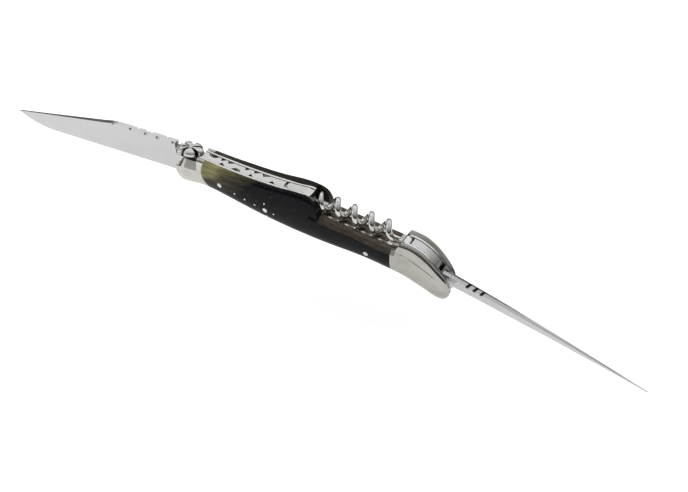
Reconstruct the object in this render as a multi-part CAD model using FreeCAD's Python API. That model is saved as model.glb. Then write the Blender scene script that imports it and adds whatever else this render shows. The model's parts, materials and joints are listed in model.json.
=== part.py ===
"""A folding pocket knife with three tools: a blade, a corkscrew and an awl.

Frame: +X runs along the handle from the blade end to the awl end, +Z points out of the back
(the spring side) and +Y is the far side.  The origin is the middle of the grip.
Inside this script a place is given by its station, measured along the handle from the front
end, and its height, measured from the level of the blade's pivot.  All sizes are millimetres.
"""
import FreeCAD, Part
import math
import os
from FreeCAD import Vector

# Overall sizes
handle_length = 120.0
grip_height = -3.0            # height of the origin, at mid length
slot_width = 4.2              # free width between the two liners
liner_thickness = 1.0
half_width_front = 5.5        # half thickness of the handle at the front end
half_width_belly = 6.9        # and at the scales
half_width_rear = 6.3         # and at the rear bolster

# Fits and clearances
running_gap = 0.05            # radial gap of a pin in the hole of a moving piece
side_gap = 0.05               # gap between a moving piece and the face beside it
rest_gap = 0.15               # gap between a spring and a tang
air_gap = 0.4                 # gap between pieces that must not touch

# Handle outline
nose_radius = 5.1             # round front end, centred on the blade pivot
nose_ledge = 10.8             # station of the shoulder behind the rosette
relief_height = 1.4           # the nose is cut back above this height to show the rosette
relief_width = 6.2            # half width of the nose at that height
relief_top_width = 3.5        # and at its top
shoulder_height = 7.3
back_height = 5.2             # height of the back at the middle of the hump
hump_height = 5.8             # height of the back just before the channel
crest_rise = 1.0              # rise of the scales and rear bolsters above the liners' edge
front_crest_rise = 0.3        # and of the front bolsters
crest_share = 0.42            # where the crest lies between liner and widest point
shelf_chamfer = 1.1           # on the shelf's outer edge
hump_radius = 8.2
shelf_front_height = -1.0     # the corkscrew lies along this sloping shelf
shelf_rear_height = -5.0
rear_step = 21.4              # shelf's end, measured from the rear end
rear_bolster_length = 23.5    # from the scale joint to the rear end
front_joint_station = 13.0    # where the front bolster meets the scale
front_joint_radius = 9.0
widest_share = 0.52           # where the handle is thickest, as a share of its height
round_overlap = 0.25

# Blade
blade_reach = 90.0            # pivot axis to tip
blade_thickness = 3.0
blade_back_height = 9.7       # height of the back above the pivot
blade_edge_height = -4.6
blade_back_straight = 34.0    # pivot axis to where the back starts to fall
blade_tip_height = 0.3
blade_tip_thickness = 1.4     # at the back's height, where the grind is measured
blade_edge_thickness = 0.2
blade_crink = 0.5             # sideways set of the tip, so that the awl can lie beside it
blade_tang_radius = 4.6
blade_heel_gap = 1.4          # blade's heel ahead of the nose
blade_plunge_gap = 0.8        # where the ground faces start, ahead of the nose
blade_fall = 4.0              # half length of the rounded start of the back's fall
spine_cut_depth = 0.8
spine_cut_overhang = 0.6      # how far a file cut's outline starts outside the edge

# Corkscrew
worm_outer_diameter = 7.8
wire_diameter = 2.6
worm_pitch = 7.15
worm_turns = 4.5
worm_tip_turns = 0.6          # of these, the turns over which the wire tapers to its tip
worm_tip_diameter = 0.5
worm_lead_in = 5.8            # pivot axis to the worm's end, along the handle
corkscrew_pivot_from_end = 19.8
corkscrew_pivot_height = -4.5
corkscrew_tang_radius = 2.4
corkscrew_pin_radius = 1.0
worm_shelf_lap = 3.8          # the worm's tip reaches this far into the hump

# Awl
awl_reach = 84.0              # pivot axis to tip
awl_width = 2.9               # across the back
awl_edge_width = 0.6
awl_depth = 5.0
awl_crown = 0.4
awl_slope = 14.8              # degrees below the handle's long axis when open
awl_pivot_from_end = 5.4
awl_pivot_height = -15.9
awl_back_offset = 4.5         # pivot axis to the awl's back
awl_tip_offset = 1.2          # and to its tip
awl_tip_size = 0.3
awl_tang_radius = 3.3
awl_crink = 0.4
awl_cut_width = 0.9           # the three file cuts across the awl's back
awl_cut_depth = 0.7
awl_cut_pitch = 2.9
awl_cut_start = 10.5          # pivot axis to the first cut
awl_cut_lean = 0.42           # slant of the cuts, as a slope

# Springs and spacer
spring_thickness = 2.6
spring_front_height = 6.5     # top of the back spring under the rosette
spring_pin_from_end = 4.4
rear_spring_thickness = 1.9
rear_spring_pin_from_end = 14.6
rear_spring_end = 6.3         # rear end of the rear spring, from the handle's rear end
spring_front_gap = 0.5        # the back spring's front end, ahead of the nose
spring_pocket_inner = 0.35    # half width of steel left between the spring's file cuts
spring_crescent_station = 48.5
spring_crescent_radius = 3.4
spring_crescent_width = 1.2
spring_crescent_depth = 1.1
spacer_thickness = 1.0
spacer_drop = 0.5             # spacer's top below the shelf

# Pins
blade_pin_radius = 1.5
awl_pin_radius = 1.2
spring_pin_radius = 0.8
rear_spring_pin_radius = 0.5
rivet_radius = 1.0
cross_pin_radius = 0.36
cross_pin_depth = 1.6
cross_pin_pitch = 4.6

# Rosette on the spring's front end
rosette_radius = 6.1
rosette_half_width = 4.5
rosette_rim_height = 5.7
rosette_top_height = 8.8
petal_count = 8
groove_half_width = 0.45
groove_slope = 0.5            # radians that a groove falls towards the rim
groove_start = (1.3, 3.25)    # distance from the centre and height above the rim
rosette_lead = 0.2            # centre of the rosette ahead of the blade pivot

# Washers
blade_washer_radius = 3.6
awl_washer_radius = 2.8

# Places that follow from the sizes above
liner_inner = slot_width / 2
liner_outer = liner_inner + liner_thickness
blade_pivot = (nose_radius + 0.2, 0.0)
awl_pivot = (handle_length - awl_pivot_from_end, awl_pivot_height)
corkscrew_pivot = (handle_length - corkscrew_pivot_from_end, corkscrew_pivot_height)
shelf_rear = handle_length - rear_step
worm_end = corkscrew_pivot[0] - worm_lead_in
worm_start = worm_end - worm_turns * worm_pitch
spring_end = worm_start - wire_diameter / 2 - air_gap
shelf_front = worm_start + worm_shelf_lap
hump_end = shelf_front - hump_radius
joint_rear_station = handle_length - rear_bolster_length
blade_near = -liner_inner + side_gap
awl_far = liner_inner - side_gap
rivet_places = [(0.18 * handle_length, -0.8), (0.355 * handle_length, -5.2),
                (0.72 * handle_length, -10.0)]


def at(station, height, y=0.0):
    """A point of the knife from its station along the handle and its height."""
    return Vector(station - handle_length / 2, y, height - grip_height)


def shelf_height(station):
    """Height of the corkscrew's shelf at a station: a straight slope."""
    share = (station - shelf_front) / (shelf_rear - shelf_front)
    return shelf_front_height + share * (shelf_rear_height - shelf_front_height)


def line(a, b):
    return Part.LineSegment(a, b).toShape()


def arc(a, mid, b):
    return Part.Arc(a, mid, b).toShape()


def spline(points):
    """A smooth curve through the given points."""
    curve = Part.BSplineCurve()
    curve.interpolate(points)
    return curve.toShape()


def slab(edges, y_low, y_high):
    """The closed outline of the edges, which lies in the XZ plane, made solid between two Y."""
    face = Part.Face(Part.Wire(Part.__sortEdges__(edges)))
    face.translate(Vector(0, y_low, 0))
    return face.extrude(Vector(0, y_high - y_low, 0))


def disc(centre, radius, y_low, y_high):
    """A round plate or pin across the handle."""
    return Part.makeCylinder(radius, y_high - y_low, at(centre[0], centre[1], y_low), Vector(0, 1, 0))


def polygon_slab(points, y_low, y_high):
    """A plate across the handle whose outline is a list of (station, height) corners."""
    corners = [at(s, h) for s, h in points]
    closed = corners + [corners[0]]
    return slab(Part.makePolygon(closed).Edges, y_low, y_high)


def back_line():
    """Points along the handle's back from the shoulder to the hump's end."""
    waist = nose_ledge + 0.16 * (hump_end - nose_ledge)
    middle = nose_ledge + 0.70 * (hump_end - nose_ledge)
    return [(nose_ledge, shoulder_height), (waist, shoulder_height - 0.8),
            (middle, back_height), (hump_end, hump_height)]


def belly_line():
    """Points along the handle's belly from under the blade pivot to the rear end."""
    rear = handle_length
    return [(blade_pivot[0], -nose_radius), (14.0, -4.6), (0.26 * rear, -7.4), (0.42 * rear, -10.7),
            (0.60 * rear, -12.6), (joint_rear_station, -14.6), (rear - 14.0, -17.4), (rear - 4.6, -21.0)]


def tail_line():
    """Points along the rear bolster's back from the channel's end to the tip of the tail."""
    rear = handle_length
    return [(rear - 19.4, -1.9), (rear - 15.4, -2.4), (rear - 9.0, -5.7),
            (rear - 4.6, -9.9), (rear - 1.0, -14.5), (rear, -17.2)]


def raised(points, rise):
    """The points of a line, lifted."""
    return [(s, h + rise) for s, h in points]


def handle_edges(rise=0.0):
    """The side outline that all the plates share; a rise lifts its back and its tail."""
    nose_top = at(blade_pivot[0], nose_radius)
    nose_front = at(blade_pivot[0] - nose_radius, 0)
    nose_bottom = at(blade_pivot[0], -nose_radius)
    ledge_low = at(nose_ledge, nose_radius)
    back = [at(s, h) for s, h in raised(back_line(), rise)]
    tail = [at(s, h) for s, h in raised(tail_line(), rise)]
    belly = [at(s, h) for s, h in belly_line()]
    hump_foot = at(shelf_front, shelf_height(shelf_front))
    half = hump_radius * math.sqrt(0.5)
    drop = hump_height + rise - shelf_height(shelf_front)
    hump_mid = at(hump_end + half, hump_height + rise - drop * (1 - math.sqrt(0.5)))
    shelf_end = at(shelf_rear, shelf_rear_height)
    step_mid = at(shelf_rear + 0.5, shelf_rear_height + 2.1 + 0.5 * rise)
    end_mid = at(handle_length - 1.3, -20.2)
    return [arc(nose_bottom, nose_front, nose_top), line(nose_top, ledge_low),
            line(ledge_low, back[0]), spline(back), arc(back[-1], hump_mid, hump_foot),
            line(hump_foot, shelf_end), arc(shelf_end, step_mid, tail[0]), spline(tail),
            arc(tail[-1], end_mid, belly[-1]), spline(belly)]


def height_on(points, station):
    """Height of the smooth curve through the points at one station."""
    curve = Part.BSplineCurve()
    curve.interpolate([at(s, h) for s, h in points])
    low = curve.FirstParameter
    high = curve.LastParameter
    target = at(station, 0).x
    for _ in range(40):
        middle = 0.5 * (low + high)
        if curve.value(middle).x < target:
            low = middle
        else:
            high = middle
    return curve.value(low).z + grip_height


def side_section(station, bottom, top, half_width, rise):
    """Half an oval across the handle, on the +Y side, closed along the liner; its crest rises."""
    low = bottom - round_overlap
    high = top + rise
    widest = low + widest_share * (high - low)
    flat = liner_outer + 0.25 * (half_width - liner_outer)
    crest = liner_outer + crest_share * (half_width - liner_outer)
    curve = []
    for step in range(-4, 5):
        turn = step * math.pi / 8
        reach = high - widest if step > 0 else widest - low
        foot = crest if step > 0 else flat
        across = foot + (half_width - foot) * math.cos(turn)
        curve.append(at(station, widest + reach * math.sin(turn), across))
    curve.append(at(station, top + 0.6 * rise, 0.5 * (crest + liner_outer)))
    curve.append(at(station, top, liner_outer))
    low_inner = at(station, low, liner_outer)
    return Part.Wire([line(low_inner, curve[0]), spline(curve), line(curve[-1], low_inner)])


def envelope():
    """Rows of station, bottom, top, half width and crest rise for the outside of one side."""
    belly = belly_line()
    back = back_line()
    tail = tail_line()
    rows = [(-0.4, -nose_radius, nose_radius + 1.0, liner_outer + 1.4, front_crest_rise),
            (1.4, -nose_radius, nose_radius + 1.2, half_width_front - 0.5, front_crest_rise),
            (4.0, -nose_radius, nose_radius + 1.6, half_width_front, front_crest_rise)]
    for share in (0.0, 0.25, 0.5, 0.75, 1.0):
        station = nose_ledge + share * (hump_end - nose_ledge)
        grow = math.sin(share * math.pi / 2)
        width = half_width_front + (half_width_belly - half_width_front) * grow
        rise = front_crest_rise + (crest_rise - front_crest_rise) * grow
        rows.append((station, height_on(belly, station), height_on(back, station), width, rise))
    for share in (0.3, 0.65, 0.97):
        station = hump_end + share * (shelf_rear - hump_end)
        top = hump_height + share * (tail[0][1] - hump_height)
        width = half_width_belly + share * (half_width_rear + 0.4 - half_width_belly)
        rows.append((station, height_on(belly, station), top, width, crest_rise))
    for share in (0.0, 0.25, 0.5, 0.75, 0.9, 1.0):
        station = tail[0][0] + share * (handle_length - 0.15 - tail[0][0])
        bottom = height_on(belly, min(station, belly[-1][0]))
        room = math.sqrt(max(0.0, 1 - max(0.0, (share - 0.4) / 0.6) ** 2.6))
        width = liner_outer + 0.5 + (half_width_rear - liner_outer - 0.5) * room
        rows.append((station, bottom, height_on(tail, station), width, crest_rise * room))
    return rows


def side_oval():
    """The rounded outside of the +Y side, before the outline is cut."""
    return Part.makeLoft([side_section(*row) for row in envelope()], True, False)


def side_body():
    """Everything outside the +Y liner, in one piece with a rounded outside."""
    outline = slab(handle_edges(crest_rise + 0.3), liner_outer, 14.0)
    body = outline.common(side_oval()).cut(shelf_edge())
    return body.Solids[0]


def shelf_edge():
    """What the chamfer takes off the shelf's outer edge."""
    stations = (shelf_front - 4.0, shelf_rear - 0.3)
    corners = []
    for station in stations:
        height = shelf_height(station)
        edge = half_width_belly - 0.4
        corners.append(Part.makePolygon([at(station, height + 0.01, edge - shelf_chamfer),
                                         at(station, height + 0.01, edge + 3.0),
                                         at(station, height - shelf_chamfer - 3.0, edge + 3.0),
                                         at(station, height + 0.01, edge - shelf_chamfer)]))
    return Part.makeLoft(corners, True, True)


def nose_relief():
    """What is cut off the front bolster's top corner, under and beside the rosette."""
    height = nose_radius - relief_height
    cone = Part.makeCone(relief_width, relief_top_width, height, at(blade_pivot[0], relief_height))
    block = Part.makeBox(blade_pivot[0] + 1.0, 20.0, height + 10.0, at(-1.0, relief_height))
    front = block.cut(cone)
    corners = [at(blade_pivot[0], nose_radius + 10.0, relief_top_width),
               at(blade_pivot[0], nose_radius + 10.0, 20.0),
               at(blade_pivot[0], relief_height, 20.0),
               at(blade_pivot[0], relief_height, relief_width),
               at(blade_pivot[0], nose_radius, relief_top_width)]
    face = Part.Face(Part.makePolygon(corners + [corners[0]]))
    return front.fuse(face.extrude(Vector(nose_ledge - blade_pivot[0], 0, 0)))


def span(low, high, y_low, y_high):
    """A tall block between two stations and two Y."""
    corner = at(low, -40.0, y_low)
    return Part.makeBox(high - low, y_high - y_low, 80.0, corner)


def on_side(shape, side):
    """The shape, which is made on the +Y side, or its mirror image on the -Y side."""
    if side > 0:
        return shape
    return shape.mirror(Vector(0, 0, 0), Vector(0, 1, 0))


def handle_pins():
    """Every pin that is fixed in the handle: name, place, radius."""
    return [("blade_pivot_pin", blade_pivot, blade_pin_radius),
            ("corkscrew_pivot_pin", corkscrew_pivot, corkscrew_pin_radius),
            ("awl_pivot_pin", awl_pivot, awl_pin_radius),
            ("back_spring_pin", spring_pin_place(), spring_pin_radius),
            ("rear_spring_pin", rear_spring_pin_place(), rear_spring_pin_radius)]


def spring_pin_place():
    station = spring_end - spring_pin_from_end
    return (station, back_top(station) - 0.55 * spring_thickness)


def rear_spring_pin_place():
    station = handle_length - rear_spring_pin_from_end
    return (station, tail_top(station) - 0.5 * rear_spring_thickness)


def back_top(station):
    """Top of the back spring: just under the liners' top."""
    return height_on(back_line(), station) - 0.15


def tail_top(station):
    """Top of the rear spring."""
    return height_on(tail_line(), station) - 0.2


def pin_through(place, radius, skin):
    """A pin through the handle, its ends flush with the skin."""
    half = disc(place, radius, 0.0, 20.0).common(skin).Solids[0]
    return half.fuse(on_side(half, -1)).removeSplitter().Solids[0]


def without(shape, tools):
    """The shape with each tool cut out of it."""
    for tool in tools:
        shape = shape.cut(tool)
    return shape


def rivets(side):
    """The large rivets of one scale, from the liner's inner face out to the scale's surface."""
    skin = side_oval().fuse(span(0, handle_length, liner_inner, liner_outer))
    rods = [disc(place, rivet_radius, liner_inner, 20.0) for place in rivet_places]
    return [on_side(rod.common(skin).Solids[0], side) for rod in rods]


def cross_places():
    """Small pins in a cross about the middle rivet: three ahead, one behind, one above, one below."""
    station, height = rivet_places[1]
    pitch = cross_pin_pitch
    ahead = [(station - step * pitch, height + step * 0.22 * pitch) for step in (1, 2, 3)]
    return ahead + [(station + 0.85 * pitch, height - 0.5), (station, height + 0.72 * pitch),
                    (station, height - 0.72 * pitch)]


def cross_pins():
    """The cross of small pins let into the near scale."""
    pins = []
    oval = side_oval()
    for place in cross_places():
        rod = disc(place, cross_pin_radius, liner_outer + 0.5, 20.0).common(oval)
        outer = rod.BoundBox.YMax
        rod = rod.common(span(0, handle_length, outer - cross_pin_depth, 20.0))
        pins.append(on_side(rod.Solids[0], -1))
    return pins


def worm_pocket():
    """Room for the worm's tip in the end of the hump, open upwards."""
    radius = worm_outer_diameter / 2 + air_gap
    height = worm_axis_height(worm_start)
    first = spring_end
    round_part = Part.makeCylinder(radius, shelf_front - first + 2.0, at(first, height), Vector(1, 0, 0))
    box = Part.makeBox(shelf_front - first + 2.0, 2 * radius, 10.0, at(first, height, -radius))
    return round_part.fuse(box).cut(span(0, handle_length, -20.0, 20.0).common(
        Part.makeBox(handle_length, 40.0, 40.0, at(0, shelf_front_height - 40.0, -20.0))))


def make_liner(side):
    """A flat plate with the whole outline, drilled for the pins."""
    plate = slab(handle_edges(), liner_inner, liner_outer).cut(worm_pocket())
    holes = [disc(place, radius, 0.0, 20.0) for _, place, radius in handle_pins()]
    holes += [disc(place, rivet_radius, 0.0, 20.0) for place in rivet_places]
    return on_side(without(plate, holes).Solids[0], side)


def scale_zone():
    """The space of the scales: a round front end, and a straight joint at the rear."""
    middle = front_joint_station + front_joint_radius
    round_end = disc((middle, 2.6), front_joint_radius, 0.0, 20.0)
    return span(middle, joint_rear_station, 0.0, 20.0).fuse(round_end)


def make_scale(side):
    """A horn scale, with the holes of its rivets."""
    plate = side_body().common(scale_zone()).cut(worm_pocket())
    holes = [disc(place, rivet_radius, 0.0, 20.0) for place in rivet_places]
    plate = on_side(without(plate, holes).Solids[0], side)
    if side < 0:
        plate = without(plate, cross_pins())
    return plate


def make_bolster(side, front):
    """The front or rear bolster of one side."""
    middle = front_joint_station + front_joint_radius
    if front:
        block = side_body().common(span(-5.0, middle, 0.0, 20.0)).cut(scale_zone())
        block = block.cut(nose_relief())
    else:
        block = side_body().common(span(joint_rear_station, handle_length + 5.0, 0.0, 20.0))
    holes = [disc(place, radius, 0.0, 20.0) for name, place, radius in handle_pins()
             if name.endswith("pivot_pin")]
    return on_side(without(block, holes).Solids[0], side)


def make_washer(place, pin_radius, radius, y_low, y_high):
    """A washer that fills the slot beside a tang."""
    return disc(place, radius, y_low, y_high).cut(disc(place, pin_radius, y_low - 1, y_high + 1))


def blade_outline():
    """Side outline of the blade with its tang, open."""
    heel = blade_pivot[0] - nose_radius - blade_heel_gap
    tip = at(blade_pivot[0] - blade_reach, blade_tip_height)
    back_end = blade_pivot[0] - blade_back_straight
    top_rear = at(heel, blade_back_height)
    top_front = at(back_end, blade_back_height + 0.1)
    fall = at(back_end - 2 * blade_fall, blade_back_height - 1.0)
    fall_mid = at(back_end - blade_fall, blade_back_height - 0.2)
    belly_start = blade_pivot[0] - 0.80 * blade_reach
    edge_front = at(belly_start, blade_edge_height)
    edge_mid = at(blade_pivot[0] - 0.93 * blade_reach, blade_edge_height + 2.0)
    edge_rear = at(heel + 0.6, blade_edge_height + 0.7)
    tang_low = at(blade_pivot[0], -blade_tang_radius)
    tang_rear = at(blade_pivot[0] + blade_tang_radius, 0)
    tang_top = at(blade_pivot[0], blade_tang_radius)
    shoulder = at(heel, blade_tang_radius)
    return [line(shoulder, top_rear), line(top_rear, top_front), arc(top_front, fall_mid, fall),
            line(fall, tip), arc(tip, edge_mid, edge_front), line(edge_front, edge_rear),
            line(edge_rear, tang_low), arc(tang_low, tang_rear, tang_top), line(tang_top, shoulder)]


def blade_grind():
    """The wedge of the ground faces, from the heel to beyond the tip."""
    centre = blade_near + blade_thickness / 2
    rows = []
    plunge = blade_pivot[0] - nose_radius - blade_plunge_gap
    for station, thickness, shift in ((plunge, blade_thickness, 0.0),
                                      (blade_pivot[0] - blade_reach - 1.0, blade_tip_thickness,
                                       -blade_crink)):
        mid = centre + shift
        high = blade_back_height + 0.2
        low = blade_edge_height - 0.1
        half_low = blade_edge_thickness / 2
        corners = [at(station, low, mid - half_low), at(station, high, mid - thickness / 2),
                   at(station, high, mid + thickness / 2), at(station, low, mid + half_low)]
        rows.append(Part.makePolygon(corners + [corners[0]]))
    return Part.makeLoft(rows, True, True)


def spine_cuts():
    """File cuts on the blade's back: side, kind, distance of its ends ahead of the pivot."""
    near = [(-1, "v", 38.4, 36.4), (-1, "v", 29.8, 27.4), (-1, "round", 21.8, 19.9),
            (-1, "round", 15.9, 14.0), (-1, "v", 8.7, 6.4)]
    far = [(1, "v", 36.4, 34.9), (1, "v", 28.7, 27.2), (1, "round", 26.3, 25.3),
           (1, "round", 21.8, 20.8), (1, "round", 19.8, 18.8), (1, "v", 12.9, 10.4)]
    return near + far


def spine_notch(side, kind, start, end):
    """A notch filed across one edge of the blade's back."""
    first = blade_pivot[0] - start
    last = blade_pivot[0] - end
    middle = 0.5 * (first + last)
    edge = blade_near if side < 0 else blade_near + blade_thickness
    outward = Vector(0, side, 1).normalize()
    stroke = Vector(0, 1, -side).normalize()
    lift = outward * spine_cut_overhang - stroke * 4.0
    ends = [at(s, blade_back_height, edge) + lift for s in (first, last)]
    root = at(middle, blade_back_height, edge) - outward * spine_cut_depth - stroke * 4.0
    if kind == "round":
        outline = [arc(ends[0], root, ends[1]), line(ends[1], ends[0])]
    else:
        outline = [line(ends[0], root), line(root, ends[1]), line(ends[1], ends[0])]
    return Part.Face(Part.Wire(outline)).extrude(stroke * 8.0)


def make_blade():
    """The blade: a wedge that carries on into a flat tang with the pivot hole."""
    plate = slab(blade_outline(), blade_near, blade_near + blade_thickness)
    plunge = blade_pivot[0] - nose_radius - blade_plunge_gap
    ground = plate.common(blade_grind())
    tang = plate.common(span(plunge, plunge + 60, -20.0, 20.0))
    blade = ground.fuse(tang).removeSplitter()
    for cut in spine_cuts():
        blade = blade.cut(spine_notch(*cut))
    hole = disc(blade_pivot, blade_pin_radius + running_gap, -20.0, 20.0)
    return max(blade.cut(hole).Solids, key=lambda solid: solid.Volume)


def worm_axis_height(station):
    """Height of the worm's axis, which lies parallel to the shelf."""
    slope = (shelf_rear_height - shelf_front_height) / (shelf_rear - shelf_front)
    return shelf_height(station) + (worm_outer_diameter / 2 + 0.2) / math.cos(math.atan(slope))


def worm_turn(first, turns, diameter_first, diameter_last):
    """Part of the worm's wire about the Z axis, from a height on, swept along its helix."""
    mean = (worm_outer_diameter - wire_diameter) / 2
    rise = turns * worm_pitch
    slant = math.atan(worm_pitch / (2 * math.pi * mean))
    spine = Part.Wire(Part.makeHelix(worm_pitch, rise, mean).Edges)
    sweep = Part.BRepOffsetAPI.MakePipeShell(spine)
    sweep.setFrenetMode(True)
    for share, diameter in ((0.0, diameter_first), (1.0, diameter_last)):
        turn = 2 * math.pi * turns * share
        middle = Vector(mean * math.cos(turn), mean * math.sin(turn), rise * share)
        along = Vector(-math.sin(turn) * math.cos(slant), math.cos(turn) * math.cos(slant),
                       math.sin(slant))
        sweep.add(Part.Wire(Part.makeCircle(diameter / 2, middle, along)))
    sweep.build()
    sweep.makeSolid()
    piece = sweep.shape()
    spun = FreeCAD.Rotation(Vector(0, 0, 1), 360.0 * first)
    return moved(piece, FreeCAD.Placement(Vector(0, 0, first * worm_pitch), spun))


def worm_place():
    """Where the worm lies: its start, its lean, and the turn that ends it on the near side."""
    fall = math.atan((shelf_rear_height - shelf_front_height) / (shelf_rear - shelf_front))
    spun = FreeCAD.Rotation(Vector(0, 0, 1), -90.0 - 360.0 * (worm_turns % 1.0))
    laid = FreeCAD.Rotation(Vector(0, 1, 0), 90.0 - math.degrees(fall))
    start = at(worm_start, worm_axis_height(worm_start))
    return FreeCAD.Placement(start, laid.multiply(spun))


def make_shank():
    """The wire from the worm's end to the middle of the tang, as a smooth sweep."""
    mean = (worm_outer_diameter - wire_diameter) / 2
    end_height = worm_axis_height(worm_end)
    pivot = at(corkscrew_pivot[0], corkscrew_pivot[1])
    path = [at(worm_end, end_height, -mean),
            at(worm_end + 0.22 * worm_lead_in, end_height - 0.42 * mean - 0.6, -0.85 * mean),
            at(worm_end + 0.5 * worm_lead_in, corkscrew_pivot[1] + 0.9, -0.26 * mean), pivot]
    curve = Part.BSplineCurve()
    curve.interpolate(path)
    tangent = curve.tangent(curve.FirstParameter)[0]
    ring = Part.Wire(Part.makeCircle(wire_diameter / 2, path[0], tangent))
    shank = Part.Wire(curve.toShape()).makePipeShell([ring], True, False)
    return shank.fuse(Part.makeSphere(wire_diameter / 2 * 1.02, path[0]))


def make_corkscrew():
    """A right-handed worm, its shank and its round tang, folded down."""
    place = worm_place()
    tip = worm_turn(0.0, worm_tip_turns, worm_tip_diameter, wire_diameter)
    coil = worm_turn(worm_tip_turns, worm_turns - worm_tip_turns, wire_diameter, wire_diameter)
    half = slot_width / 2 - side_gap
    tang = disc(corkscrew_pivot, corkscrew_tang_radius, -half, half)
    hole = disc(corkscrew_pivot, corkscrew_pin_radius + running_gap, -20.0, 20.0)
    body = tang.fuse([make_shank(), moved(coil, place)]).fuse(moved(tip, place))
    return body.cut(hole)


def moved(shape, placement):
    """The shape at the placement, with its place written into its geometry."""
    copy = shape.copy()
    copy.Placement = placement.multiply(shape.Placement)
    return copy


def awl_section(reach, depth, width, edge_width, centre):
    """A cross section of the awl at a distance from its pivot, across the awl's own line."""
    angle = math.radians(awl_slope)
    along = Vector(math.cos(angle), 0, -math.sin(angle))
    up = Vector(math.sin(angle), 0, math.cos(angle))
    pivot = at(awl_pivot[0], awl_pivot[1])
    side = Vector(0, 1, 0)
    share = reach / awl_reach
    top = awl_back_offset + (awl_tip_offset - awl_back_offset) * share ** 2.2
    base = pivot + along * reach + side * centre
    crown = min(awl_crown, 0.2 * depth)
    corners = [base + up * top, base + up * (top - crown) + side * (width / 2),
               base + up * (top - depth) + side * (edge_width / 2),
               base + up * (top - depth) - side * (edge_width / 2),
               base + up * (top - crown) - side * (width / 2)]
    return Part.makePolygon(corners + [corners[0]])


def make_awl():
    """The awl: a tapering spike with a crowned back, three file cuts and a round tang."""
    centre = awl_far - awl_width / 2
    sections = []
    for share in (0.0, 0.1, 0.3, 0.55, 0.8, 1.0):
        depth = awl_depth + (awl_tip_size - awl_depth) * share ** 1.35
        width = awl_width + (awl_tip_size - awl_width) * share ** 1.2
        edge = awl_edge_width + (awl_tip_size / 2 - awl_edge_width) * share
        bend = awl_crink * max(0.0, share - 0.1)
        sections.append(awl_section(share * awl_reach, depth, width, edge, centre + bend))
    spike = Part.makeLoft(sections, True, True)
    tang = disc(awl_pivot, awl_tang_radius, awl_far - awl_width, awl_far)
    awl = spike.fuse(tang).removeSplitter()
    angle = math.radians(awl_slope)
    along = Vector(math.cos(angle), 0, -math.sin(angle))
    up = Vector(math.sin(angle), 0, math.cos(angle))
    for step in range(3):
        reach = awl_cut_start + step * awl_cut_pitch
        lift = awl_back_offset + awl_cut_width - awl_cut_depth
        spot = at(awl_pivot[0], awl_pivot[1]) + along * reach + up * lift
        corner = spot - Vector(awl_cut_lean, 1, 0) * 6.2
        rod = Part.makeCylinder(awl_cut_width / 2 + 0.25, 13.5, corner, Vector(awl_cut_lean, 1, 0))
        awl = awl.cut(rod)
    hole = disc(awl_pivot, awl_pin_radius + running_gap, -20.0, 20.0)
    return awl.cut(hole).Solids[0]


def file_cuts():
    """Pockets filed into the back spring's edges: side, kind, first station, last station."""
    start = nose_ledge + 2.0
    return [(1, "moon", start, start + 4.4), (1, "tri", start + 5.5, start + 8.0),
            (1, "tri", start + 8.6, start + 11.7), (1, "tri", start + 16.6, start + 18.9),
            (1, "tri", start + 20.6, start + 23.4), (1, "tri", start + 24.3, start + 28.5),
            (-1, "tri", start + 6.3, start + 9.5), (-1, "moon", start + 11.9, start + 16.5),
            (-1, "tri", start + 19.8, start + 22.2), (-1, "tri", start + 29.2, start + 32.2)]


def file_pocket(side, kind, first, last):
    """One pocket, open to the spring's side, cut down from its top."""
    width = slot_width / 2 - side_gap
    high = back_top(0.5 * (first + last)) + 2.0
    low = high - 2.0 - 1.6 * spring_thickness
    outside = side * (width + 1.0)
    edge = side * width
    deep = side * spring_pocket_inner
    if kind == "moon":
        outline = [arc(at(first, low, edge), at(0.5 * (first + last), low, deep), at(last, low, edge)),
                   line(at(last, low, edge), at(last, low, outside)),
                   line(at(last, low, outside), at(first, low, outside)),
                   line(at(first, low, outside), at(first, low, edge))]
    else:
        peak = first + 0.3 * (last - first)
        corners = [at(first, low, edge), at(peak, low, deep), at(last, low, edge),
                   at(last, low, outside), at(first, low, outside)]
        outline = Part.makePolygon(corners + [corners[0]]).Edges
    face = Part.Face(Part.Wire(Part.__sortEdges__(outline)))
    return face.extrude(Vector(0, 0, high - low))


def spring_crescent():
    """The curved cut across the back spring near the middle of the hump."""
    station = spring_crescent_station
    radius = spring_crescent_radius
    centre = at(station + radius - 0.4, back_top(station) - spring_crescent_depth, 0.6)
    ring = Part.makeCylinder(radius, 1.2, centre)
    core = Part.makeCylinder(radius - spring_crescent_width, 1.2, centre)
    return ring.cut(core).common(span(station - radius, station + 2.2, -slot_width, slot_width))


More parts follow.
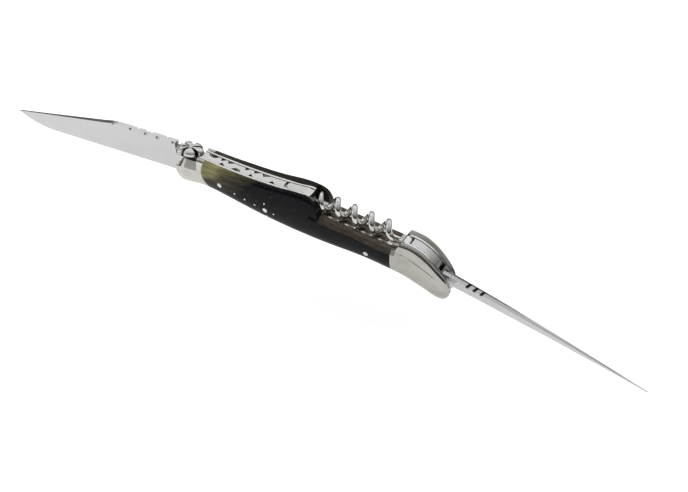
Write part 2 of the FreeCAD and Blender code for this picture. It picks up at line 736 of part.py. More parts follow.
def make_back_spring():
    """The visible back spring: rests over the blade's tang, ends before the corkscrew's tip."""
    half = slot_width / 2 - side_gap
    low_front = blade_tang_radius + rest_gap
    front = blade_pivot[0] - nose_radius - spring_front_gap
    shoulder = nose_ledge + 0.3
    tops = [at(s, back_top(s)) for s in
            [shoulder + share * (hump_end - shoulder) for share in (0.0, 0.2, 0.45, 0.7, 1.0)]]
    end_top = at(spring_end, back_top(hump_end) - 0.4)
    end_low = at(spring_end, back_top(hump_end) - 0.4 - spring_thickness)
    lows = [at(0.5 * (shoulder + hump_end), back_top(0.5 * (shoulder + hump_end)) - spring_thickness),
            at(0.25 * handle_length * 0.8, back_top(0.2 * handle_length) - spring_thickness),
            at(shoulder + 1.0, low_front)]
    ring_top = at(blade_pivot[0] + rosette_radius + 0.1, spring_front_height)
    start_top = at(front, spring_front_height)
    start_low = at(front, low_front)
    edges = [line(start_low, start_top), line(start_top, ring_top), line(ring_top, tops[0]),
             spline(tops), line(tops[-1], end_top), line(end_top, end_low),
             spline([end_low] + lows), line(lows[-1], start_low)]
    spring = slab(edges, -half, half)
    for cut in file_cuts():
        spring = spring.cut(file_pocket(*cut))
    spring = spring.cut(spring_crescent())
    place = spring_pin_place()
    return spring.cut(disc(place, spring_pin_radius + running_gap, -20.0, 20.0)).Solids[0]


def make_rosette():
    """A domed rosette of petals that straddles the back spring's front end."""
    centre = at(blade_pivot[0] - rosette_lead, rosette_rim_height)
    dome = Part.makeSphere(1.0, Vector(0, 0, 0), Vector(0, 0, 1), 0, 90, 360)
    grow = FreeCAD.Matrix()
    grow.scale(Vector(rosette_radius, rosette_half_width, rosette_top_height - rosette_rim_height))
    dome = dome.transformGeometry(grow)
    for step in range(petal_count):
        angle = 360.0 * (step + 0.5) / petal_count
        groove = Part.makeCylinder(groove_half_width, rosette_radius * 1.2,
                                   Vector(groove_start[0], 0, groove_start[1]),
                                   Vector(math.cos(groove_slope), 0, -math.sin(groove_slope)))
        groove.rotate(Vector(0, 0, 0), Vector(0, 0, 1), angle)
        dome = dome.cut(groove)
    dome.translate(centre)
    seat = Part.makeBox(60, slot_width, 10, at(-20, spring_front_height - 10.0, -slot_width / 2))
    return dome.cut(seat).Solids[0]


def make_rear_spring():
    """The strip in the rear bolster that holds the corkscrew's and the awl's tangs."""
    half = slot_width / 2 - side_gap
    first = corkscrew_pivot[0] + corkscrew_tang_radius + rest_gap
    last = handle_length - rear_spring_end
    stations = [first + share * (last - first) for share in (0.0, 0.25, 0.5, 0.75, 1.0)]
    tops = [at(s, tail_top(s)) for s in stations]
    lows = [at(s - 0.45 * share, tail_top(s) - rear_spring_thickness) for s, share in
            zip(stations, (0.0, 0.5, 1.0, 2.0, 2.6))]
    edges = [spline(tops), line(tops[-1], lows[-1]), spline(list(reversed(lows))), line(lows[0], tops[0])]
    strip = slab(edges, -half, half)
    strip = strip.cut(disc(rear_spring_pin_place(), rear_spring_pin_radius + running_gap, -20.0, 20.0))
    return max(strip.Solids, key=lambda solid: solid.Volume)


def make_centre_spacer():
    """The bar between the liners that closes the slot under the corkscrew."""
    first = spring_end - 1.0
    last = worm_end - 1.5
    top = spacer_drop
    low = spacer_drop + spacer_thickness
    corners = [(first, shelf_height(first) - top), (last, shelf_height(last) - top),
               (last, shelf_height(last) - low), (first, shelf_height(first) - low)]
    return polygon_slab(corners, -liner_inner, liner_inner)


def make_all():
    """Every piece of the knife by name."""
    half = slot_width / 2
    blade_far = blade_near + blade_thickness
    awl_near = awl_far - awl_width
    parts = {"near_scale": make_scale(-1), "far_scale": make_scale(1),
             "near_liner": make_liner(-1), "far_liner": make_liner(1),
             "near_front_bolster": make_bolster(-1, True), "far_front_bolster": make_bolster(1, True),
             "near_rear_bolster": make_bolster(-1, False), "far_rear_bolster": make_bolster(1, False),
             "near_scale_rivets": Part.makeCompound(rivets(-1)),
             "far_scale_rivets": Part.makeCompound(rivets(1)),
             "near_cross_pins": Part.makeCompound(cross_pins()),
             "blade": make_blade(), "corkscrew": make_corkscrew(), "awl": make_awl(),
             "back_spring": make_back_spring(), "spring_rosette": make_rosette(),
             "rear_spring": make_rear_spring(), "centre_spacer": make_centre_spacer(),
             "blade_washer": make_washer(blade_pivot, blade_pin_radius, blade_washer_radius,
                                         blade_far + side_gap, half),
             "awl_washer": make_washer(awl_pivot, awl_pin_radius, awl_washer_radius, -half,
                                       awl_near - side_gap)}
    skin = side_oval().fuse(span(0, handle_length, 0.0, liner_outer))
    plates = span(0, handle_length, 0.0, liner_outer)
    for name, place, radius in handle_pins():
        room = skin if name.endswith("pivot_pin") else plates
        parts[name] = pin_through(place, radius, room)
    return parts


if __name__ == "__main__":
    os.makedirs("parts", exist_ok=True)
    for name, shape in make_all().items():
        shape.exportStep("parts/" + name + ".step")
        print(name, len(shape.Solids), round(shape.Volume, 2), shape.isValid())
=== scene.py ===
# %% [markdown]
# # A folding knife with a blade, a corkscrew and an awl
# The real knife is a stack: two steel plates, horn scales and steel bolsters on their outsides,
# and three tools that turn on pins between them.  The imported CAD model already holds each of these
# pieces at its true place and size.  This lesson gives every piece its finish, makes the small
# rosette again as a finer surface, and sets up a pale studio around the knife.

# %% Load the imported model
import json
import math

import bpy
import numpy as np
from mathutils import Matrix, Vector

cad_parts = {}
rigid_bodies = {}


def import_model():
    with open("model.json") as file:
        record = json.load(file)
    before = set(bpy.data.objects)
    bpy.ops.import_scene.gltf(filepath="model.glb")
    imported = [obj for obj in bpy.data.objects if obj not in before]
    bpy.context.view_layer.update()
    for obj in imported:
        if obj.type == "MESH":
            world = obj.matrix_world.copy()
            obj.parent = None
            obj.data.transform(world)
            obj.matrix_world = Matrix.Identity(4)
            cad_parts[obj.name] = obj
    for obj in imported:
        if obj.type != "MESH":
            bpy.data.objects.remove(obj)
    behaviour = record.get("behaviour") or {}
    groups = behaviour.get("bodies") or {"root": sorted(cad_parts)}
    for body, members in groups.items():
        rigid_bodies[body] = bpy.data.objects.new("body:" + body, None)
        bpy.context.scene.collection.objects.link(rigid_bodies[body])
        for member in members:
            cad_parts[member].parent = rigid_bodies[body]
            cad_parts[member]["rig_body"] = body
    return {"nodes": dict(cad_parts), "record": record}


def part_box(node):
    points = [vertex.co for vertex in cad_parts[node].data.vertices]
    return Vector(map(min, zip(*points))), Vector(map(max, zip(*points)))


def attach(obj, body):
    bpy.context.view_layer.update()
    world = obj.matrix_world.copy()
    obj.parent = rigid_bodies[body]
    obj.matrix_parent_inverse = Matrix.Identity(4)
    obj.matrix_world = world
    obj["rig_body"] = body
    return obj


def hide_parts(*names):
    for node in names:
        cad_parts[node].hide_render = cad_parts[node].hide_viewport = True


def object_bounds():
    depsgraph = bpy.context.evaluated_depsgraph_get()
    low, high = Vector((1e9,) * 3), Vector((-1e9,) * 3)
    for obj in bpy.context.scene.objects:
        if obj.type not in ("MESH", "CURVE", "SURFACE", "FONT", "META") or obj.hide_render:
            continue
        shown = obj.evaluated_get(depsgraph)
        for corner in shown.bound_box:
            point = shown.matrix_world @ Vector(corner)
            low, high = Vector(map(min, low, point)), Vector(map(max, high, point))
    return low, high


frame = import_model()
cad_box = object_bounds()
MM = 0.001
print("nodes:", len(frame["nodes"]))

# %% [markdown]
# ## Places that a pattern needs
# Painted shade lies in the awl's file cuts, and those are measured from the awl's pin.  The pin's
# place could be typed in again, but the model's own record already holds it among its joints, so it
# is read from there and follows the model.

# %% Read the awl's pivot
joints = {joint["name"]: joint for joint in frame["record"]["behaviour"]["joints"]}
awl_pivot = np.array(joints["awl_pivot"]["pos_m"])
print("awl pivot:", awl_pivot)

# %% [markdown]
# ## Materials made of nodes
# A finish could be an image wrapped round the piece, but a node tree needs no unwrapping and stays
# sharp at any distance.  Every tree here reads Object coordinates, which are metres in the knife's
# own frame, so a noise scale of 1000 is one cell per millimetre.  Each pattern helper below adds a
# node or a few and returns the socket that carries the result, so a tree reads like a sum.


# %% Start a tree, and feed one socket into another
def new_material(name):
    """An empty Principled material: returns the material, its tree and its shader node."""
    material = bpy.data.materials.new(name)
    material.use_nodes = True
    tree = material.node_tree
    return material, tree, tree.nodes["Principled BSDF"]


def feed(tree, source, node, slot):
    """Links a result to an input of a node; a number or a colour is simply set there."""
    if isinstance(source, float):
        node.inputs[slot].default_value = source
    elif isinstance(source, tuple):
        node.inputs[slot].default_value = (*source, 1.0)
    else:
        tree.links.new(source, node.inputs[slot])


# %% Where a point is
def object_axes(tree):
    """The point's X, Y and Z in the knife's frame, as three results."""
    place = tree.nodes.new("ShaderNodeTexCoord")
    axes = tree.nodes.new("ShaderNodeSeparateXYZ")
    feed(tree, place.outputs["Object"], axes, "Vector")
    return axes.outputs


def along_axis(tree, origin, axis):
    """The distance (point - origin) . axis."""
    place = tree.nodes.new("ShaderNodeTexCoord")
    shifted = tree.nodes.new("ShaderNodeVectorMath")
    shifted.operation = "SUBTRACT"
    shifted.inputs[1].default_value = tuple(origin)
    feed(tree, place.outputs["Object"], shifted, 0)
    dot = tree.nodes.new("ShaderNodeVectorMath")
    dot.operation = "DOT_PRODUCT"
    dot.inputs[1].default_value = axis
    feed(tree, shifted.outputs["Vector"], dot, 0)
    return dot.outputs["Value"]


# %% Patterns and sums
def noise(tree, scale, detail=3.0, roughness=0.55):
    """Noise from 0 to 1; scale is its cells per metre along X, Y and Z."""
    place = tree.nodes.new("ShaderNodeTexCoord")
    mapping = tree.nodes.new("ShaderNodeMapping")
    mapping.inputs["Scale"].default_value = scale
    feed(tree, place.outputs["Object"], mapping, "Vector")
    node = tree.nodes.new("ShaderNodeTexNoise")
    node.inputs["Scale"].default_value = 1.0
    node.inputs["Detail"].default_value = detail
    node.inputs["Roughness"].default_value = roughness
    feed(tree, mapping.outputs["Vector"], node, "Vector")
    return node.outputs["Fac"]


def between(tree, source, low, high, start=0.0, stop=1.0):
    """Maps start..stop of the source to low..high, and holds the ends."""
    node = tree.nodes.new("ShaderNodeMapRange")
    node.inputs["From Min"].default_value = start
    node.inputs["From Max"].default_value = stop
    node.inputs["To Min"].default_value = low
    node.inputs["To Max"].default_value = high
    feed(tree, source, node, "Value")
    return node.outputs["Result"]


def combine(tree, kind, first, *others):
    """first kind second kind third, and so on, with a Math node of that kind for each step."""
    for other in others:
        node = tree.nodes.new("ShaderNodeMath")
        node.operation = kind
        feed(tree, first, node, 0)
        feed(tree, other, node, 1)
        first = node.outputs["Value"]
    return first


def window(tree, source, low, high, soft):
    """1 where low < source < high, with edges soft wide."""
    rise = between(tree, source, 0.0, 1.0, low - soft, low)
    fall = between(tree, source, 1.0, 0.0, high, high + soft)
    return combine(tree, "MULTIPLY", rise, fall)


# %% Colours
def ramp(tree, source, stops):
    """A colour for each value of the source: stops are (position, colour)."""
    node = tree.nodes.new("ShaderNodeValToRGB")
    cells = node.color_ramp.elements
    while len(cells) < len(stops):
        cells.new(0.5)
    for cell, (position, colour) in zip(cells, stops):
        cell.position = position
        cell.color = (*colour, 1.0)
    feed(tree, source, node, "Fac")
    return node.outputs["Color"]


def blend_colours(tree, mask, below, above, kind="MIX"):
    """below where the mask is 0, above where it is 1; each is a result or a colour."""
    factor_slot, below_slot, above_slot, colour_result = 0, 6, 7, 2
    node = tree.nodes.new("ShaderNodeMix")
    node.data_type = "RGBA"
    node.blend_type = kind
    feed(tree, mask, node, factor_slot)
    feed(tree, below, node, below_slot)
    feed(tree, above, node, above_slot)
    return node.outputs[colour_result]


# %% Relief
def soft_edges(tree, radius):
    """A Bevel node: sharp edges catch the light as if rounded by radius metres."""
    node = tree.nodes.new("ShaderNodeBevel")
    node.samples = 4
    node.inputs["Radius"].default_value = radius
    return node.outputs["Normal"]


def bump(tree, source, height, after):
    """Tilts the surface as a relief of height metres would, on top of an earlier relief."""
    node = tree.nodes.new("ShaderNodeBump")
    node.inputs["Distance"].default_value = height
    feed(tree, source, node, "Height")
    feed(tree, after, node, "Normal")
    return node.outputs["Normal"]


# %% [markdown]
# ## Steel
# The real pieces are all steel, but not alike: the bolsters are mirror polished, the awl and the
# springs show file and brush lines, and the worm is drawn wire.  One function makes them all.
# Slow noise dulls the colour where fingers have been, and a fine stretched noise gives the grain,
# both to the roughness and to a relief at most a thousandth of a millimetre deep.

# %% Dark dashes along a seam
SEAM_FRONT = -48.5 * MM
SEAM_DARK = (0.010, 0.010, 0.010)


def seam_dashes(tree, near, far):
    """1 where near < |y| < far and x > SEAM_FRONT, broken into dashes by noise along X."""
    axes = object_axes(tree)
    aside = tree.nodes.new("ShaderNodeMath")
    aside.operation = "ABSOLUTE"
    feed(tree, axes["Y"], aside, 0)
    beyond = between(tree, aside.outputs["Value"], 0.0, 1.0, near - 0.03 * MM, near)
    short = between(tree, aside.outputs["Value"], 1.0, 0.0, far, far + 0.02 * MM)
    behind = between(tree, axes["X"], 0.0, 1.0, SEAM_FRONT - 0.1 * MM, SEAM_FRONT + 0.1 * MM)
    dashes = between(tree, noise(tree, (900, 0, 0), 2.0), 0.35, 1.0, start=0.42, stop=0.52)
    return combine(tree, "MULTIPLY", beyond, short, behind, dashes)


print("seams are darkened behind x in mm:", SEAM_FRONT / MM)


# %% Any steel
SMUDGE_ROUGHNESS = 0.12
# Painted shade: this black fills the awl's file cuts, the rear bolster's crease line and the
# rosette's grooves.
SHADE_BLACK = (0.012, 0.011, 0.010)


def steel(name, colour, rough, brush=(120, 120, 120), brush_height=0.4e-6, spread=0.5,
          tarnish=(0.62, 0.58, 0.50), soft=0.12, seam=None, shade_marks=None):
    """Colour = colour, or colour x tarnish in the smudges.  Roughness = rough (1 -+ spread) along
    the grain, plus a little in the smudges.  brush is the grain's cells per metre, and soft the
    worn edge's radius in mm; seam = (near, far) darkens the steel in dashes beside a plate, and
    shade_marks(tree) gives a mask that is 1 where shade is painted black."""
    material, tree, shader = new_material(name)
    shader.inputs["Metallic"].default_value = 1.0
    smudge = between(tree, noise(tree, (110, 160, 160), 4.0), 0.0, 0.55, start=0.50, stop=0.78)
    dull = tuple(part * share for part, share in zip(colour, tarnish))
    tint = blend_colours(tree, smudge, colour, dull)
    if seam is not None:
        tint = blend_colours(tree, seam_dashes(tree, *seam), tint, SEAM_DARK)
    if shade_marks is not None:
        tint = blend_colours(tree, shade_marks(tree), tint, SHADE_BLACK)
    feed(tree, tint, shader, "Base Color")
    grain = noise(tree, brush, 3.0, 0.6)
    fine = between(tree, grain, rough * (1 - spread), rough * (1 + spread), start=0.3, stop=0.7)
    smeared = combine(tree, "MULTIPLY", smudge, SMUDGE_ROUGHNESS)
    feed(tree, combine(tree, "ADD", fine, smeared), shader, "Roughness")
    feed(tree, bump(tree, grain, brush_height, soft_edges(tree, soft * MM)), shader, "Normal")
    return material


# %% [markdown]
# The awl's back has three slanted file cuts, and black painted shade fills them.  The cuts
# themselves are in the model; the shade could be painted by hand on the mesh, but it is only three
# stripes across one axis, so the distance along that leaning axis is enough to say where it goes.

# %% Painted shade in the awl's file cuts
AWL_SLOPE = math.radians(14.8)
CUT_START = 10.5 * MM
CUT_PITCH = 2.9 * MM
CUT_LEAN = 0.42
CUT_HALF_WIDTH = 0.52 * MM
CUT_EDGE = 0.12 * MM
CUT_FLOOR = 3.35 * MM
CUT_TOP = 6.0 * MM
cut_places = CUT_START + CUT_PITCH * np.arange(3)
print("cuts at mm from the pin:", cut_places / MM)


def awl_cut_shade(tree):
    """1 within half a width of start + k pitch, for k = 0, 1, 2, between the cuts' floor and top."""
    reach = along_axis(tree, awl_pivot, (math.cos(AWL_SLOPE), -CUT_LEAN, -math.sin(AWL_SLOPE)))
    height = along_axis(tree, awl_pivot, (math.sin(AWL_SLOPE), 0.0, math.cos(AWL_SLOPE)))
    stripes = [window(tree, reach, centre - CUT_HALF_WIDTH, centre + CUT_HALF_WIDTH, CUT_EDGE)
               for centre in cut_places]
    near_back = window(tree, height, CUT_FLOOR, CUT_TOP, 0.2 * MM)
    return combine(tree, "MULTIPLY", combine(tree, "MAXIMUM", *stripes), near_back)


# %% [markdown]
# A fine crease runs down the rear bolster.  It is too shallow to need a cut in the model, so
# a painted dark line, painted shade, stands for it: seen from the side it is a piece of a parabola,
# and noise breaks it.

# %% The crease on the rear bolster
CREASE_TOP_X = 34.51 * MM
CREASE_TOP_Z = -1.404 * MM
CREASE_BEND = 0.01754 / MM
CREASE_HALF_WIDTH = 0.10 * MM
CREASE_FROM = 41.0 * MM
CREASE_TO = 54.0 * MM
print("crease length along x in mm:", (CREASE_TO - CREASE_FROM) / MM)


def crease_shade_line(tree):
    """1 where |z + bend (x - top x)^2 - top z| is under half a width, faded by noise."""
    axes = object_axes(tree)
    past = combine(tree, "SUBTRACT", axes["X"], CREASE_TOP_X)
    drop = combine(tree, "MULTIPLY", past, past, CREASE_BEND)
    level = combine(tree, "ADD", axes["Z"], drop)
    line = window(tree, level, CREASE_TOP_Z - CREASE_HALF_WIDTH, CREASE_TOP_Z + CREASE_HALF_WIDTH,
                  0.14 * MM)
    stretch = window(tree, axes["X"], CREASE_FROM, CREASE_TO, 1.5 * MM)
    faded = between(tree, noise(tree, (260, 260, 260), 3.0), 0.25, 0.9, start=0.42, stop=0.60)
    return combine(tree, "MULTIPLY", line, stretch, faded)


# %% Every steel in the knife
GREY_TARNISH = (0.88, 0.88, 0.88)
SPRING_TARNISH = (0.88, 0.87, 0.85)
PLATE_SEAM = (2.98 * MM, 3.20 * MM)
SPRING_SEAM = (1.84 * MM, 2.20 * MM)
STEELS = {
    "liner_steel": steel("polished_liner", (0.56, 0.56, 0.54), 0.14, (150, 4000, 4000),
                         seam=PLATE_SEAM),
    "bolster_steel": steel("polished_bolster", (0.49, 0.485, 0.455), 0.09, (700, 700, 700),
                           soft=0.3),
    "pin_metal": steel("pin_metal", (0.66, 0.65, 0.62), 0.18, (3000, 3000, 3000)),
    "spacer_steel": steel("spacer_steel", (0.10, 0.09, 0.08), 0.35, (500, 3000, 3000)),
    "washer_metal": steel("washer_bronze", (0.10, 0.085, 0.06), 0.35, (3000, 3000, 3000)),
    "blade_steel": steel("ground_blade", (0.50, 0.50, 0.50), 0.10, (3000, 3000, 200), 0.25e-6,
                         tarnish=(0.9, 0.9, 0.9), soft=0.02),
    "worm_steel": steel("worm_wire", (0.56, 0.56, 0.54), 0.12, (900, 900, 900), soft=0.05),
    "awl_steel": steel("brushed_awl", (0.50, 0.50, 0.50), 0.20, (60, 5000, 5000), 1.0e-6,
                       tarnish=GREY_TARNISH, shade_marks=awl_cut_shade),
    "spring_steel": steel("filed_spring", (0.53, 0.525, 0.51), 0.24, (300, 5000, 5000), 1.0e-6,
                          tarnish=SPRING_TARNISH, seam=SPRING_SEAM),
    "rear_spring_steel": steel("rear_spring", (0.48, 0.48, 0.495), 0.22, (300, 5000, 5000),
                               seam=SPRING_SEAM),
}
# Painted shade: a darker copy of the bolster steel for the rear bolsters and their pins, carrying
# the crease's painted dark line.
rear_bolster_shaded = steel("rear_bolster_shaded_steel", (0.395, 0.39, 0.36), 0.11, (500, 700, 700), soft=0.3,
                     shade_marks=crease_shade_line)
print("steels:", len(STEELS) + 1)

# %% [markdown]
# ## Horn
# The scales are polished horn: nearly black, with a honey-olive glow at the front top corner.
# Real light goes into horn and comes out again, which a render can do, but only the glow's colour
# shows at this size, so the colour alone carries it.  The shelf under the corkscrew is filed flat
# through the polish, so it is a dull brown with scratches.

# %% The filed shelf
SHELF_FROM = 6.3 * MM
SHELF_TO = 38.6 * MM
SHELF_SLOPE = -4.0 / 32.3
SHELF_LEVEL = 2.0 * MM - SHELF_SLOPE * SHELF_FROM
print("shelf falls by degrees:", math.degrees(math.atan(-SHELF_SLOPE)))


def shelf_mask(tree, axes):
    """1 on faces that look up, between the shelf's two ends, where z < level + slope x."""
    plane = combine(tree, "MULTIPLY", axes["X"], SHELF_SLOPE)
    over = combine(tree, "SUBTRACT", axes["Z"], plane)
    low = between(tree, over, 1.0, 0.0, SHELF_LEVEL + 0.10 * MM, SHELF_LEVEL + 0.35 * MM)
    behind = between(tree, axes["X"], 0.0, 1.0, SHELF_FROM - 1.0 * MM, SHELF_FROM)
    before = between(tree, axes["X"], 1.0, 0.0, SHELF_TO, SHELF_TO + 0.4 * MM)
    surface = tree.nodes.new("ShaderNodeNewGeometry")
    facing = tree.nodes.new("ShaderNodeSeparateXYZ")
    feed(tree, surface.outputs["Normal"], facing, "Vector")
    upward = between(tree, facing.outputs["Z"], 0.0, 1.0, 0.55, 0.80)
    return combine(tree, "MULTIPLY", low, behind, upward, before)


def filed_colour(tree):
    """Three browns, picked by a noise that is stretched along the file's strokes."""
    grit = noise(tree, (350, 1600, 1600), 4.0, 0.7)
    return ramp(tree, grit, [(0.30, (0.030, 0.022, 0.017)), (0.52, (0.080, 0.066, 0.052)),
                             (0.75, (0.150, 0.130, 0.105))])


# %% Polished horn
GLOW_FROM = -49.0 * MM
GLOW_TO = -7.0 * MM
GLOW_LOW = -6.0 * MM
GLOW_HIGH = 9.0 * MM
SHELF_ROUGHNESS = 0.45
HORN_EDGE = 0.35 * MM
SCRATCH_HEIGHT = 1.2e-6
SWELL_HEIGHT = 30e-6


def horn_colour(tree, axes, front, deep, glow):
    """ramp(share of the way back + depth under the top + noise), with specks and dark fibres."""
    along = between(tree, axes["X"], 0.0, 1.0, GLOW_FROM, GLOW_TO)
    under = between(tree, axes["Z"], 0.50, -0.12, GLOW_LOW, GLOW_HIGH)
    wave = between(tree, noise(tree, (45, 130, 130), 4.0), -0.34, 0.34)
    body = ramp(tree, combine(tree, "ADD", along, under, wave),
                [(0.02, glow), (0.14, glow), (0.30, front), (0.56, deep), (1.0, deep)])
    specks = between(tree, noise(tree, (800, 800, 800), 2.0), 0.0, 1.0, start=0.60, stop=0.72)
    spotted = blend_colours(tree, specks, body, (0.016, 0.017, 0.020), "ADD")
    fibre = between(tree, noise(tree, (90, 900, 900), 5.0, 0.7), 0.0, 0.7, start=0.42, stop=0.75)
    return blend_colours(tree, fibre, spotted, (0.004, 0.004, 0.005))


def horn(name, front, deep, glow, rough):
    """Polished horn whose shelf is matte: roughness = rough x scratches + more on the shelf."""
    material, tree, shader = new_material(name)
    axes = object_axes(tree)
    shelf = shelf_mask(tree, axes)
    polished = horn_colour(tree, axes, front, deep, glow)
    feed(tree, blend_colours(tree, shelf, polished, filed_colour(tree)), shader, "Base Color")
    scratch = noise(tree, (150, 2500, 2500), 3.0)
    fine = between(tree, scratch, rough * 0.5, rough * 1.6, start=0.3, stop=0.7)
    dull = combine(tree, "MULTIPLY", shelf, SHELF_ROUGHNESS)
    feed(tree, combine(tree, "ADD", fine, dull), shader, "Roughness")
    shader.inputs["IOR"].default_value = 1.50
    shader.inputs["Specular IOR Level"].default_value = 0.09
    rubbed = bump(tree, scratch, SCRATCH_HEIGHT, soft_edges(tree, HORN_EDGE))
    swollen = bump(tree, noise(tree, (60, 60, 60), 2.0), SWELL_HEIGHT, rubbed)
    feed(tree, swollen, shader, "Normal")
    return material


HORNS = {
    "near_horn": horn("near_horn_scale", (0.078, 0.070, 0.042), (0.0035, 0.0039, 0.0050),
                      (0.27, 0.25, 0.115), 0.13),
    "far_horn": horn("far_horn_scale", (0.040, 0.034, 0.026), (0.028, 0.022, 0.017),
                     (0.055, 0.050, 0.038), 0.26),
}
print("horns:", len(HORNS))

# %% [markdown]
# ## Dress the model
# The record says which kind of material each node has.  Looking the finish up by that word is
# shorter than a list of pieces, and a new piece would be dressed by itself.  Only the rear
# bolsters and the two pins beside them differ: they get a darker copy of the bolster steel, painted
# shade.

# %% Give every CAD node its material
slots = {row["node"]: row["material_slot"] for row in frame["record"]["subparts"]}
looks = {**STEELS, **HORNS}
for node, thing in frame["nodes"].items():
    thing.data.materials.clear()
    thing.data.materials.append(looks[slots[node]])
for node in ("near_rear_bolster", "far_rear_bolster", "corkscrew_pivot_pin", "awl_pivot_pin"):
    frame["nodes"][node].data.materials[0] = rear_bolster_shaded
print("dressed:", len(slots))

# %% [markdown]
# ## The rosette
# On the front end of the back spring sits a small forged flower.  It could be sculpted by hand, but
# its shape is simple to say: a flat dome over an ellipse, with a few deep, narrow grooves that run
# out from the middle, and the petals are what is left between them.  So its height is one formula
# of the angle and of the share of the way out, worked out for a whole grid at once.


# %% From a grid of points to a closed mesh
def ring_mesh(name, points):
    """points[u, v]: rows in u wrap round, quads join neighbours, and both end rings are capped."""
    turns, rings = points.shape[:2]
    index = np.arange(turns * rings).reshape(turns, rings)
    ahead = np.roll(index, -1, axis=0)
    quads = np.stack([index[:, :-1], index[:, 1:], ahead[:, 1:], ahead[:, :-1]], axis=-1)
    caps = [index[:, 0].tolist(), index[::-1, -1].tolist()]
    mesh = bpy.data.meshes.new(name)
    mesh.from_pydata(points.reshape(-1, 3).tolist(), [], quads.reshape(-1, 4).tolist() + caps)
    mesh.shade_smooth()
    piece = bpy.data.objects.new(name, mesh)
    bpy.context.collection.objects.link(piece)
    return piece


# %% Sizes of the rosette
rosette_low, rosette_high = (np.array(corner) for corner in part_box("spring_rosette"))
rosette_middle = 0.5 * (rosette_low + rosette_high)
rosette_half = 0.5 * (rosette_high - rosette_low)
GAPS = np.radians([-110.0, -32.0, 34.0, 97.0, 162.0, -158.0])
GROOVE_NARROW = 0.20 * MM
GROOVE_WIDE = 0.88 * MM
GROOVE_DEPTH = 1.6 * MM
GROOVE_START = 0.16
RIM_HEIGHT = 1.45 * MM
DOME_SPARE = 0.2 * MM
PETAL_PUFF = 0.15 * MM
PUFF_WIDTH = 1.1 * MM
LOWEST = 0.18 * MM
NOTCH_DEPTH = 0.20
NOTCH_ANGLE = 0.22
LIP_DROP = 0.35 * MM
NECK_SHARE = 0.80
NECK_DROP = 0.6 * MM
print("rosette in mm:", 2 * rosette_half / MM)


# %% Height of the petals
def petal_height(across, share):
    """rim + h (1 - 0.15 t^2)(1 - t^12)^0.5 + puff - depth exp(-(d/w)^6), where t is the share of
    the way out, d the distance across to the nearest gap, and w grows with t^1.5; returns the
    height and the groove's own share."""
    width = GROOVE_NARROW + (GROOVE_WIDE - GROOVE_NARROW) * share ** 1.5
    groove = np.exp(-(across / width) ** 6) * np.clip((share - GROOVE_START) / 0.08, 0.0, 1.0)
    puff = PETAL_PUFF * np.clip(across / PUFF_WIDTH, 0.0, 1.0) * np.sin(np.pi * share)
    rise = 2 * rosette_half[2] + DOME_SPARE - RIM_HEIGHT
    dome = RIM_HEIGHT + rise * (1.0 - 0.15 * share ** 2) * np.sqrt(1.0 - share ** 12)
    return np.maximum(dome + puff - GROOVE_DEPTH * groove, LOWEST), groove


def rosette_points(turns=480, rings=56):
    """(x, y) = middle + half (cos a, sin a) t (1 - notch exp(-(gap angle / notch angle)^2)), and
    z is the petals' height; under the rim come a lip, a narrower neck, and the foot."""
    angle = np.linspace(-np.pi, np.pi, turns, endpoint=False)[:, None]
    share = np.linspace(0.03, 1.0, rings)[None, :]
    away = np.abs((angle[..., None] - GAPS + np.pi) % (2 * np.pi) - np.pi).min(axis=-1)
    rim = 1.0 - NOTCH_DEPTH * np.exp(-(away / NOTCH_ANGLE) ** 2)
    radius = np.hypot(rosette_half[0] * np.cos(angle), rosette_half[1] * np.sin(angle))
    height, groove = petal_height(away * share * radius, share)
    x = rosette_middle[0] + rosette_half[0] * rim * share * np.cos(angle)
    y = rosette_middle[1] + rosette_half[1] * rim * share * np.sin(angle)
    top = np.stack([x, y, rosette_low[2] + height], axis=-1)
    edge = top[:, -1:]
    lip = edge - np.array([0.0, 0.0, LIP_DROP])
    core = np.array([rosette_middle[0], rosette_middle[1], 0.0])
    shrunk = core + NECK_SHARE * (edge - core) * np.array([1.0, 1.0, 0.0])
    neck = shrunk + np.array([0.0, 0.0, rosette_low[2] + RIM_HEIGHT - NECK_DROP])
    foot = shrunk + np.array([0.0, 0.0, rosette_low[2]])
    hollow = np.concatenate([np.ones((turns, 3)), groove[:, ::-1]], axis=1)
    return np.concatenate([foot, neck, lip, top[:, ::-1]], axis=1), hollow


petals, hollow = rosette_points()
rosette = ring_mesh("rosette", petals)
shade = rosette.data.attributes.new("hollow", "FLOAT", "POINT")
shade.data.foreach_set("value", hollow.ravel())
print("rosette points:", petals.shape)

# %% [markdown]
# Shade is painted black at the bottom of the grooves and under the rim.  The mesh carries that as an
# attribute of its own, so the steel can read it back and turn black exactly there.


# %% Put the rosette in place of the plain one
def hollow_shade(tree):
    """The mesh's own attribute, where shade is painted black: 1 at the bottom of a groove and on the
    neck.
    """
    node = tree.nodes.new("ShaderNodeAttribute")
    node.attribute_name = "hollow"
    return node.outputs["Fac"]


rosette.data.materials.append(steel("petal_steel", (0.53, 0.525, 0.51), 0.24, (900, 900, 900),
                                    1.0e-6, tarnish=SPRING_TARNISH, shade_marks=hollow_shade))
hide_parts("spring_rosette")
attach(rosette, frame["nodes"]["spring_rosette"]["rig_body"])
print(rosette.name, len(rosette.data.polygons), "faces")

# %% [markdown]
# ## Floor
# The knife lies on a plain white table that fades into the background.  A curved backdrop would do
# it too, but a wide plane is simpler.  A white surface under soft light still renders a little
# grey, so the plane glows faintly and only the knife's own shadow shows on it.

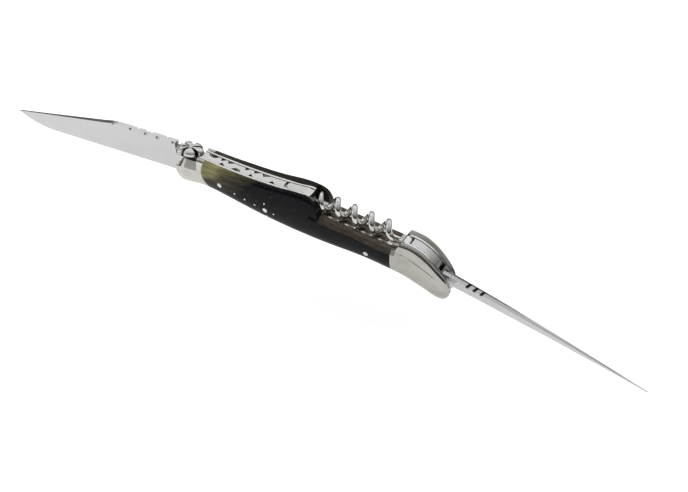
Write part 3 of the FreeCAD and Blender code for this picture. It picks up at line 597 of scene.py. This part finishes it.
# %% A pale floor
FLOOR_GAP = 0.2 * MM
low_corner = cad_box[0]
bpy.ops.mesh.primitive_plane_add(size=8.0, location=(0.0, 0.0, low_corner[2] - FLOOR_GAP))
floor = bpy.context.object
floor.name = "floor"
floor_material, _, floor_shader = new_material("pale_floor")
floor_shader.inputs["Base Color"].default_value = (0.93, 0.93, 0.93, 1.0)
floor_shader.inputs["Roughness"].default_value = 0.9
floor_shader.inputs["Specular IOR Level"].default_value = 0.1
floor_shader.inputs["Emission Color"].default_value = (1.0, 1.0, 1.0, 1.0)
floor_shader.inputs["Emission Strength"].default_value = 0.27
floor.data.materials.append(floor_material)
print("floor at z =", low_corner[2] - FLOOR_GAP)

# %% [markdown]
# ## Light
# A product table is lit by large soft boxes.  One big box overhead fills the shadows, and it is
# hidden from mirrors so that the steel doesn't turn all white.  Two strips give the bolsters and
# the worm their bright lines.


# %% Soft studio light
def soft_light(name, place, size, power, mirrored=True):
    """A rectangular area light of size metres at place, aimed at the knife's middle."""
    data = bpy.data.lights.new(name, "AREA")
    data.shape = "RECTANGLE"
    data.size, data.size_y = size
    data.energy = power
    lamp = bpy.data.objects.new(name, data)
    bpy.context.collection.objects.link(lamp)
    lamp.location = place
    lamp.rotation_euler = (-Vector(place)).to_track_quat("-Z", "Y").to_euler()
    lamp.visible_glossy = mirrored
    return lamp


lamps = [soft_light("fill_box", (0.0, 0.0, 1.4), (2.6, 2.6), 11.0, mirrored=False),
         soft_light("top_strip", (-0.15, 0.45, 0.55), (1.7, 0.55), 1.1),
         soft_light("side_strip", (-0.55, -0.30, 0.30), (0.25, 0.5), 0.35)]
print("lights:", len(lamps))

# %% [markdown]
# Polished steel shows only what is around it, so an even grey sky would make it look like plastic.
# This sky is a function of direction: bright overhead, with a dark ring just above the horizon,
# and darker towards one side.

# %% Sky
SKY = [(0.0, 0.75), (0.50, 0.50), (0.54, 0.10), (0.64, 0.14), (0.70, 0.75), (0.86, 0.88)]
DARK_SIDE = (0.46, -0.88, 0.0)
world = bpy.data.worlds.new("studio")
world.use_nodes = True
bpy.context.scene.world = world
sky_tree = world.node_tree
sky = sky_tree.nodes["Background"]
direction = sky_tree.nodes.new("ShaderNodeTexCoord").outputs["Generated"]
direction_parts = sky_tree.nodes.new("ShaderNodeSeparateXYZ")
feed(sky_tree, direction, direction_parts, "Vector")
up_share = between(sky_tree, direction_parts.outputs["Z"], 0.0, 1.0, -1.0, 1.0)
greys = ramp(sky_tree, up_share, [(position, (value,) * 3) for position, value in SKY])
feed(sky_tree, greys, sky, "Color")
toward = sky_tree.nodes.new("ShaderNodeVectorMath")
toward.operation = "DOT_PRODUCT"
toward.inputs[1].default_value = DARK_SIDE
feed(sky_tree, direction, toward, 0)
feed(sky_tree, between(sky_tree, toward.outputs["Value"], 1.0, 0.35, 0.1, 0.9), sky, "Strength")
bpy.context.scene.view_settings.view_transform = "Standard"
print("sky stops:", len(SKY))

# %% [markdown]
# ## Camera
# A camera could be turned by its three angles, but it is easier to say where it stands: how far
# round, how high, and how far from the point that it looks at.  Its own three axes follow from
# those, and they are the columns of its matrix.

# %% Camera
AZIMUTH = math.radians(27.64)
ELEVATION = math.radians(39.36)
ROLL = math.radians(0.33)
TARGET = np.array([14.03, 0.0, -12.51]) * MM
DISTANCE = 375.94 * MM
backward = np.array([math.sin(AZIMUTH) * math.cos(ELEVATION),
                     -math.cos(AZIMUTH) * math.cos(ELEVATION), math.sin(ELEVATION)])
level = np.array([math.cos(AZIMUTH), math.sin(AZIMUTH), 0.0])
right = level * math.cos(ROLL) + np.cross(backward, level) * math.sin(ROLL)
upward = np.cross(backward, right)
camera_data = bpy.data.cameras.new("camera")
camera_data.lens = 50.77
camera_data.sensor_width = 36.0
camera_data.clip_start = 0.01
camera = bpy.data.objects.new("camera", camera_data)
bpy.context.collection.objects.link(camera)
place = TARGET + backward * DISTANCE
axes_and_place = np.column_stack([right, upward, backward, place])
camera.matrix_world = Matrix(np.vstack([axes_and_place, [0.0, 0.0, 0.0, 1.0]]).tolist())
bpy.context.scene.camera = camera
print("camera at", place)
